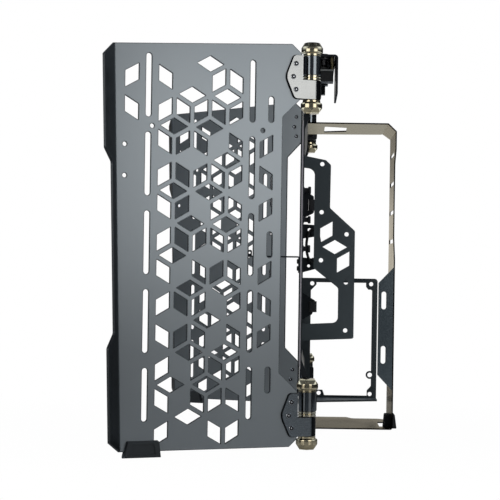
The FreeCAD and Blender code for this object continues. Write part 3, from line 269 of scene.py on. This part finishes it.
def two_tone_leaf(name, face, edge, roughness):
    """Anodised face over black sides: light only where the leaf's flat outer face lies."""
    finish = Finish(name, edge, roughness, 1.0)
    lines = finish.turned_lines()
    on_face = finish.ramp(finish.out_of_wing(), LEAF_FACE - 0.2 * MM, LEAF_FACE - 0.1 * MM)
    light = finish.clouded(finish.noise(40, 3), face, 0.95, 1.05)
    finish.surface(Base_Color=finish.blend(on_face, edge, light),
                   Roughness=finish.wander(lines, roughness - 0.02, roughness + 0.02))
    finish.bump(lines, 0.03, 0.01 * MM)
    return finish.material


def painted_plate(name, face, wall_and_edge_shade, roughness, metallic):
    """Satin paint on the wing's two faces, with painted shade: darker on its flange, and a thin
    dull dark colour on the cut walls between the faces and along every edge."""
    finish = Finish(name, face, roughness, metallic, Specular_IOR_Level=0.2)
    drift = finish.noise(9)
    out = finish.out_of_wing()
    depth = finish.math("ABSOLUTE", finish.math("SUBTRACT", out, WING_MIDDLE))
    near_face = finish.ramp(depth, WING_SHEET / 2 - 0.1 * MM, WING_SHEET / 2 - 0.02 * MM)
    # painted shade: the cut walls and a band along every sharp edge take the dark wall colour
    on_face = finish.product(near_face, finish.off_edges(1.3 * MM))
    # painted shade on the flange, where on_plate falls to 0: the face colour at a fifth
    on_plate = finish.ramp(out, FLANGE_START, FLANGE_START + 0.7 * MM, 1, 0)
    painted = finish.clouded(drift, face, 0.94, 1.05)
    gloss = finish.wander(drift, roughness - 0.02, roughness + 0.03)
    dull = finish.math("MULTIPLY", finish.math("SUBTRACT", 1.0, on_face), 0.5)
    finish.surface(
        Base_Color=finish.blend(on_face, wall_and_edge_shade, finish.blend(on_plate, shade(face, 0.2), painted)),
        Metallic=finish.math("MULTIPLY", on_face, metallic),
        Roughness=finish.math("ADD", gloss, dull))
    finish.orange_peel(0.3, 0.02 * MM)
    return finish.material


def housing_paint(name, color, roughness):
    """Glossy black paint, dull on the housing's downward edges."""
    finish = Finish(name, color, roughness)
    drift = finish.noise(9)
    _, _, z = finish.split(finish.place)
    dull = finish.ramp(z, HOUSING_FOOT + 0.05 * MM, HOUSING_FOOT + 0.2 * MM, 0.7, 0)
    gloss = finish.wander(drift, roughness - 0.03, roughness + 0.04)
    finish.surface(Base_Color=finish.clouded(drift, color, 0.93, 1.06),
                   Roughness=finish.math("ADD", gloss, dull))
    finish.orange_peel(0.35, 0.03 * MM)
    return finish.material


def highlight_edged_panel(name, face, edge, roughness):
    """Black satin panel with a painted highlight along the outer corner of its end faces and along
    the ear's corner.
    """
    finish = Finish(name, face, roughness, Specular_IOR_Level=0.05)
    drift = finish.noise(9)
    x, y, _ = finish.split(finish.place)
    on_end = finish.ramp(finish.math("ABSOLUTE", y), PANEL_END - 0.3 * MM, PANEL_END - 0.2 * MM)
    corner = finish.product(finish.ramp(x, CORNER_START, CORNER_START + 0.2 * MM),
                            finish.ramp(x, CORNER_END - 0.2 * MM, CORNER_END, 1, 0))
    ear = finish.ramp(x, EAR_CORNER, EAR_CORNER + 0.1 * MM)
    # painted highlight: the end faces' outer corner and the ear's corner take the light edge colour
    bright = finish.product(on_end, finish.math("MAXIMUM", corner, ear))
    painted = finish.clouded(drift, face, 0.93, 1.06)
    finish.surface(Base_Color=finish.blend(bright, painted, edge),
                   Roughness=finish.wander(drift, roughness - 0.03, roughness + 0.04))
    finish.orange_peel(0.35, 0.03 * MM)
    return finish.material


def hoop_with_edge_shade(name, strip, tab, edge, roughness, **sockets):
    """Glossy paint on the hoop's strip, with painted shade in black on its near edge and a narrow
    band just inside it, and slate on the tab folded from it.
    """
    finish = Finish(name, strip, roughness, 1.0, **sockets)
    drift = finish.noise(12)
    x, y, z = finish.split(finish.place)
    # painted shade: the near edge and the first 1.4 mm of the strip behind it take the black edge
    # colour, except on the tab
    on_strip = finish.ramp(y, TAB_INSIDE + 1.4 * MM, TAB_INSIDE + 1.8 * MM)
    inside = finish.ramp(x, HOOP_INSIDE - 0.1 * MM, HOOP_INSIDE, 1, 0)
    height = finish.math("ABSOLUTE", finish.math("SUBTRACT", z, TAB_MIDDLE))
    beside = finish.ramp(height, TAB_HALF_HEIGHT, TAB_HALF_HEIGHT + 1 * MM, 1, 0)
    edge_shade_or_tab = finish.blend(finish.product(inside, beside), edge, tab)
    painted = finish.clouded(drift, strip, 0.9, 1.1)
    finish.surface(Base_Color=finish.blend(on_strip, edge_shade_or_tab, painted),
                   Roughness=finish.wander(drift, roughness - 0.02, roughness + 0.03))
    finish.orange_peel(0.08, 0.02 * MM)
    return finish.material


def ribbed_gold_shaded(name, color, roughness):
    """Turned metal with painted shade on the taper: darker on the ribs and darkest in the grooves
    between them.
    """
    finish = Finish(name, color, roughness, 1.0)
    x, y, z = finish.split(finish.place)
    across = finish.math("SUBTRACT", finish.math("ABSOLUTE", y), HINGE_Y)
    turn = finish.math("ARCTAN2", across, finish.math("SUBTRACT", x, AXIS_X))
    wave = finish.math("COSINE", finish.math("MULTIPLY", turn, RIBS))
    # painted shade: ribs at 0.55 of the colour, grooves at 0.1
    ribs = finish.blend(finish.ramp(wave, -0.5, 0.5), shade(color, 0.55), shade(color, 0.1))
    on_ribs = finish.ramp(z, RIBS_FROM, RIBS_FROM + 0.3 * MM)
    gloss = finish.wander(finish.turned_lines(), roughness - 0.04, roughness + 0.05)
    finish.surface(Base_Color=finish.blend(on_ribs, color, ribs), Roughness=gloss)
    return finish.material


def edged_board(name, face, edge):
    """Lacquered board with its bare glass edge: faint traces on the flat sides."""
    finish = Finish(name, face, 0.3)
    brick = finish.node("TexBrick", Scale=220, Mortar_Size=0.05, Vector=finish.place)
    traces = brick.outputs["Fac"]
    _, _, z = finish.split(finish.place)
    depth = finish.math("ABSOLUTE", finish.math("SUBTRACT", z, BOARD_MIDDLE))
    on_face = finish.ramp(depth, 0.7 * MM, 0.8 * MM)
    copper = finish.blend(traces, face, shade(face, 2.0))
    finish.surface(Base_Color=finish.blend(on_face, edge, copper))
    finish.bump(traces, 0.4, 0.04 * MM)
    return finish.material


def woven_strap(name, valley, crown):
    """Flat woven hook-and-loop strap: a twill of fine ribs."""
    finish = Finish(name, valley, 0.9, Sheen_Weight=0.4)
    wave = finish.node("TexWave", bands_direction="DIAGONAL", Scale=700, Vector=finish.place)
    ribs = wave.outputs["Fac"]
    finish.surface(Base_Color=finish.blend(ribs, valley, crown))
    finish.bump(ribs, 0.5, 0.1 * MM)
    return finish.material


BLACK_SIDES = (0.02, 0.022, 0.024)

looks = {
    # the second colour is the painted shade on the wing's cut walls and edges
    "wing_gunmetal": painted_plate("gunmetal satin paint", (0.27, 0.295, 0.31),
                                   (0.03, 0.033, 0.036), 0.33, 0.85),
    # the second colour is the painted highlight on the panel's end corners
    "panel_black": highlight_edged_panel("black satin paint", (0.03, 0.034, 0.038),
                                      (0.5, 0.47, 0.49), 0.4),
    "bracket_slate": powder_coat("slate satin paint", (0.075, 0.093, 0.1), 0.42),
    # the fourth colour is the painted shade along the hoop's near edge
    "hoop_paint": hoop_with_edge_shade("hoop black paint", (0.035, 0.033, 0.028), (0.28, 0.33, 0.35),
                                (0.004, 0.004, 0.004), 0.24, Specular_Tint=(1.0, 0.91, 0.72)),
    "foot_rubber": moulded("foot rubber", (0.03, 0.035, 0.038), 0.6),
    # painted shade: the near-black rim round each leaf screw's drive stands for the shade in its
    # recess
    "drive_rim_shade": anodised("screw rim in painted shade", (0.01, 0.01, 0.011), 0.4),
    "black_screw": anodised("black oxide steel", (0.04, 0.04, 0.042), 0.4),
    "io_black": housing_paint("ports housing black", (0.02, 0.022, 0.026), 0.24),
    "circuit_board": edged_board("lacquered board", (0.02, 0.035, 0.03), (0.32, 0.33, 0.31)),
    "brass_spacer": anodised("brass spacer", (0.14, 0.12, 0.07), 0.3),
    "port_shell": anodised("plated port shell", (0.6, 0.6, 0.58), 0.25),
    "port_plastic": moulded("port plastic", (0.02, 0.02, 0.02), 0.5),
    "button_cap": moulded("button plastic", (0.05, 0.05, 0.055), 0.3),
    "clip_plastic": moulded("clip plastic", (0.025, 0.026, 0.03), 0.45),
    "band_rubber": moulded("elastic band", (0.02, 0.02, 0.02), 0.65),
    "strap_fabric": woven_strap("strap weave", (0.02, 0.02, 0.022), (0.05, 0.05, 0.052)),
    "leaf_screw_steel": anodised("plated screw steel", (0.55, 0.56, 0.58), 0.25),
    "leaf_silver": two_tone_leaf("leaf anodised silver", (0.39, 0.395, 0.385), BLACK_SIDES, 0.26),
    "leaf_slate": two_tone_leaf("leaf anodised slate", (0.15, 0.172, 0.19), BLACK_SIDES, 0.26),
    "barrel_black": anodised("polished black barrel", (0.22, 0.24, 0.255), 0.15),
    "ring_gold": anodised("champagne ring", (0.85, 0.78, 0.6), 0.15),
    "knob_champagne": anodised("champagne knob", (0.74, 0.64, 0.43), 0.16),
    "knob_ribbed": ribbed_gold_shaded("champagne ribs", (0.74, 0.65, 0.45), 0.16),
    "pin_steel": anodised("ground pin steel", (0.5, 0.5, 0.5), 0.2),
    "block_plastic": moulded("ear block plastic", (0.02, 0.022, 0.024), 0.5),
}

slot_of = {part["node"]: part["material_slot"] for part in frame["record"]["subparts"]}
for node, slot in slot_of.items():
    for spot in nodes[node].material_slots:
        spot.material = looks[slot]


# Turned pieces with more shape than the construction gives them: clamping knobs and screw drives


def add_mesh(name, points, faces):
    mesh = bpy.data.meshes.new(name)
    mesh.from_pydata(points, [], faces)
    made = bpy.data.objects.new(name, mesh)
    bpy.context.scene.collection.objects.link(made)
    return made


def turned_piece(name, rows, frames, count, shape=None):
    """A solid of revolution, repeated in every frame (origin and three axes).

    Row k puts the point of angle t at (r cos t, r sin t, h), with r, h = rows[k] in millimetres;
    shape(t, h, r) may change r. The first and the last row are closed with a flat cap."""
    turn = np.linspace(0, 2 * np.pi, count, endpoint=False)[None, :]
    radius, height = (np.array(column)[:, None] for column in zip(*rows))
    if shape:
        radius = shape(turn, height, radius)
    radius, height = radius + 0 * turn, height + 0 * turn
    local = MM * np.stack([radius * np.cos(turn), radius * np.sin(turn), height], axis=-1)
    local = local.reshape(-1, 3)
    around = np.arange(count)
    after = np.roll(around, -1)
    faces = [around[::-1].tolist(), (around + (len(rows) - 1) * count).tolist()]
    for low in range(0, (len(rows) - 1) * count, count):
        high = low + count
        band = [around + low, after + low, after + high, around + high]
        faces += np.stack(band, axis=1).tolist()
    points, corners = [], []
    for origin, axes in frames:
        corners += [[corner + len(points) for corner in face] for face in faces]
        points += (np.array(origin) + local @ np.array(axes)).tolist()
    made = add_mesh(name, points, corners)
    made.data.polygons.foreach_set("use_smooth", [True] * len(made.data.polygons))
    made.data.set_sharp_from_angle(angle=math.radians(24))
    return made


def finish_as(piece, node, look=None):
    """The piece takes a CAD node's body, and the look of its material slot unless another is given.
    """
    slot = slot_of[node]
    piece.data.materials.append(look or looks[slot])
    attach(piece, body_of(nodes[node])[0])


# A knob in millimetres (radius, height): its bore, its neck and band, and either kind of taper
BAND_TOP = 8.6
TIP = 13.3
BORE = [(0.6, 9.3), (4.0, 9.3), (4.0, 0.0), (8.5, 0.0), (8.8, 0.3)]
NECK = [(8.8, 2.1), (9.0, 2.4), (9.9, 2.8), (10.5, 3.3), (10.75, 3.9), (10.8, 4.6), (10.8, 7.9),
        (10.7, 8.3)]
FLAT_TAPER = [(10.3, 9.0), (10.1, 9.8), (9.9, 10.6), (9.6, 11.4), (9.3, 12.2), (8.9, 13.0),
              (8.3, TIP), (0.6, TIP)]
RIB_TAPER = [(10.4, 8.9), (10.0, 9.4), (9.5, 10.2), (8.9, 11.2), (8.3, 12.2), (7.8, 13.0),
             (7.2, TIP), (0.6, TIP)]
FLATS_START = BAND_TOP - 0.6
FLAT_OUT, FLAT_IN = 10.75, 3.6  # a flat's distance from the axis, and by how much the tip's is less
RIBS_START = BAND_TOP + 0.5
RIB_DEPTH = 0.035  # as a share of the radius


def six_flats(turn, height, radius):
    """Six flats cut across the taper, square to 30, 90, 150... degrees: the flat's distance from
    the axis over cos(angle from its middle), where that is less than the round."""
    share = np.clip((height - FLATS_START) / (TIP - BAND_TOP), 0, 1)
    side = (turn + np.pi / 6) % (np.pi / 3) - np.pi / 6
    flat = (FLAT_OUT - FLAT_IN * share) / np.cos(side)
    return np.minimum(radius, flat)


def ribbed(turn, height, radius):
    """Fine ribs round the taper: r (1 - depth (1 + cos(ribs t)) / 2)."""
    ribs = 1 - RIB_DEPTH * (0.5 + 0.5 * np.cos(RIBS * turn))
    return np.where((height > RIBS_START) & (radius > 6), radius * ribs, radius)


for wing, side in (("right", -1), ("left", 1)):
    for level in ("upper", "lower"):
        for end, up in (("top", 1), ("bottom", -1)):
            node = "%s_%s_%s_knob" % (wing, level, end)
            low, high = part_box(node)
            origin = (AXIS_X, side * HINGE_Y, low[2] if up > 0 else high[2])
            axes = ((1, 0, 0), (0, up, 0), (0, 0, up))
            fine = level == "upper" and end == "top"
            taper, shape = (RIB_TAPER, ribbed) if fine else (FLAT_TAPER, six_flats)
            rows = BORE + NECK + taper
            knob = turned_piece(node + "_shape", rows, [(origin, axes)], 216, shape)
            finish_as(knob, node, looks["knob_ribbed"] if fine else None)
            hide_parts(node)

# The rim and the drive of a leaf screw (radius, height over its face), and where a leaf's three
# screws lie: along the wing from the hinge axis and up from the leaf's foot, all in millimetres
DRIVE_RIM = [(0.9, -0.2), (2.1, -0.2), (2.1, 0.0), (1.95, 0.06), (1.0, 0.06), (0.9, -0.1)]
DRIVE = [(0.85, -0.3), (0.85, 0.05), (0.7, 0.15), (0.3, 0.2), (0.05, 0.2)]
DRIVES = ((20.3, 34.1), (23.0, 21.1), (20.1, 8.6))
LEAF_FEET = (16.2, 349.9)

for wing, side in (("right", -1), ("left", 1)):
    outward = np.array((math.sin(SPLAY), side * math.cos(SPLAY), 0))
    along = np.array((-math.cos(SPLAY), side * math.sin(SPLAY), 0))
    upward = np.cross(outward, along)
    fronts, backs = [], []
    for foot in LEAF_FEET:
        for reach, rise in DRIVES:
            middle = np.array((AXIS_X, side * HINGE_Y, (foot + rise) * MM)) + along * reach * MM
            fronts.append((middle + outward * DRIVE_OUT, (along, upward, outward)))
            backs.append((middle + outward * NUT_OUT, (along, -upward, -outward)))
    for fastener, places in (("_leaf_screws", fronts), ("_leaf_nuts", backs)):
        node = wing + fastener
        # the rim carries painted shade round the drive
        finish_as(turned_piece(node + "_rim", DRIVE_RIM, places, 32), node, looks["drive_rim_shade"])
        finish_as(turned_piece(node + "_drive", DRIVE, places, 24), node)


# Floor, backdrop and lights


def floor_finish():
    """Pale floor: white to the camera save for the shadows, and a dim sheen to the metal."""
    material = bpy.data.materials.new("pale floor")
    material.use_nodes = True
    material.node_tree.nodes.clear()
    tree = Tree(material.node_tree)
    place = tree.node("TexCoord").outputs["Object"]
    distance = tree.node("VectorMath", operation="LENGTH", Vector=place).outputs["Value"]
    fade = tree.ramp(distance, 0.25, 0.5, 0.985, 1.0)
    paint = tree.node("BsdfDiffuse", Color=(0.86, 0.86, 0.86)).outputs["BSDF"]
    glow = tree.node("Emission").outputs["Emission"]
    table = tree.node("BsdfPrincipled", Base_Color=(0.42, 0.42, 0.42), Roughness=0.25)
    to_camera = tree.node("LightPath").outputs["Is Camera Ray"]
    seen = tree.mix_shaders(to_camera, table.outputs["BSDF"], tree.mix_shaders(fade, paint, glow))
    tree.node("OutputMaterial", Surface=seen)
    return material


def flat_disc(name, radius, count=96):
    """A disc on z = 0: the circle's points and one face through them."""
    turn = np.linspace(0, 2 * np.pi, count, endpoint=False)
    points = np.stack([radius * np.cos(turn), radius * np.sin(turn), np.zeros(count)], axis=1)
    return add_mesh(name, points.tolist(), [list(range(count))])


floor = flat_disc("floor", 0.56)
floor.data.materials.append(floor_finish())
floor.location.z = -0.2 * MM

# The room by the direction light comes from, whose parts are x, y and z: dim walls over the
# horizon, darker overhead and past the object; a glow from below; a faint strip between the
# soft boxes; a bright backdrop far behind; and plain white to the camera alone

scene = bpy.context.scene
world = bpy.data.worlds.new("studio")
scene.world = world
world.use_nodes = True
world.node_tree.nodes.clear()
studio = Tree(world.node_tree)
x, y, z = studio.split(studio.node("TexCoord").outputs["Generated"])
aside = studio.math("ABSOLUTE", x)
tilt = studio.math("ABSOLUTE", z)


def step(value, start, end, low, high):
    return studio.ramp(value, start, end, low, high, "SMOOTHSTEP")


walls = studio.product(step(z, 0.14, 0.38, 0.012, 1.0), step(z, 0.6, 0.82, 1.0, 0.06),
                       step(y, 0.3, 0.6, 1.0, 0.2))
below = step(z, -0.32, -0.12, 1.0, 0.0)
around = studio.product(studio.math("ADD", walls, below), step(y, -0.6, -0.2, 0.12, 1.3))
between = studio.product(step(aside, 0.3, 0.45, 0.07, 0.0), step(y, -0.8, -0.7, 1.0, 0.0),
                         step(tilt, 0.14, 0.3, 1.0, 0.0))
room = studio.node("Background", Color=(0.84, 0.95, 1.1),
                   Strength=studio.math("ADD", around, between))
far = studio.product(step(y, 0.90, 0.96, 0.0, 1.05), step(tilt, 0.02, 0.08, 1.0, 0.35))
backdrop = studio.node("Background", Color=(1.0, 0.98, 0.94), Strength=far)
both = studio.node("AddShader")
studio.give(both.inputs[0], room.outputs["Background"])
studio.give(both.inputs[1], backdrop.outputs["Background"])
white = studio.node("Background", Color=(1, 1, 1)).outputs["Background"]
to_camera = studio.node("LightPath").outputs["Is Camera Ray"]
studio.node("OutputWorld", Surface=studio.mix_shaders(to_camera, both.outputs["Shader"], white))


def soft_box(name, azimuth, distance, height, width, tall, glow, aim=(AXIS_X, -HINGE_Y)):
    """An area lamp of radiance glow, aimed level at a point on the plan; azimuth 0 stands at the
    camera's side (-Y) and 90 at +X."""
    lamp = bpy.data.lights.new(name, "AREA")
    lamp.shape = "RECTANGLE"
    lamp.size, lamp.size_y = width, tall
    lamp.energy = glow * math.pi * width * tall
    made = bpy.data.objects.new(name, lamp)
    turn = math.radians(azimuth)
    made.location = (aim[0] + distance * math.sin(turn), aim[1] - distance * math.cos(turn), height)
    made.rotation_euler = (math.pi / 2, 0, turn)
    scene.collection.objects.link(made)
    return made


# Azimuth, then distance, height, width and tall in metres, and glow
soft_box("right soft box", 38, 0.9, 0.405, 0.56, 0.45, 1.8)
soft_box("left soft box", -46, 0.9, 0.405, 0.62, 0.45, 1.68)
soft_box("right low box", 36, 0.9, 0.0, 0.5, 0.3, 0.35)
soft_box("left low box", -45, 0.9, 0.0, 0.4, 0.3, 0.5)
for name, azimuth in (("right rear soft box", 128), ("left rear soft box", -128)):
    rear = soft_box(name, azimuth, 1.5, 0.75, 1.1, 1.0, 1.6, aim=(AXIS_X, 0))
    rear.visible_glossy = False
top = soft_box("top soft box", 0, 0.1, 2.2, 1.6, 1.6, 1.5)
top.rotation_euler.x = 0
top.visible_glossy = False

# Camera: level, near the height of the panel's middle, in front of the near wing's hinge

CAMERA_PLACE = (AXIS_X - 6.09 * MM, -1705.43 * MM, 176.52 * MM)
CAMERA_ROLL = -0.0147

camera_data = bpy.data.cameras.new("camera")
camera_data.sensor_width = 36
camera_data.lens = 106.37
camera_data.shift_x = -0.1057
camera_data.shift_y = 0.0485
camera_data.clip_end = 20
camera = bpy.data.objects.new("camera", camera_data)
camera.location = CAMERA_PLACE
camera.rotation_euler = (math.pi / 2, CAMERA_ROLL, 0)
scene.collection.objects.link(camera)
scene.camera = camera
scene.view_settings.view_transform = "Standard"
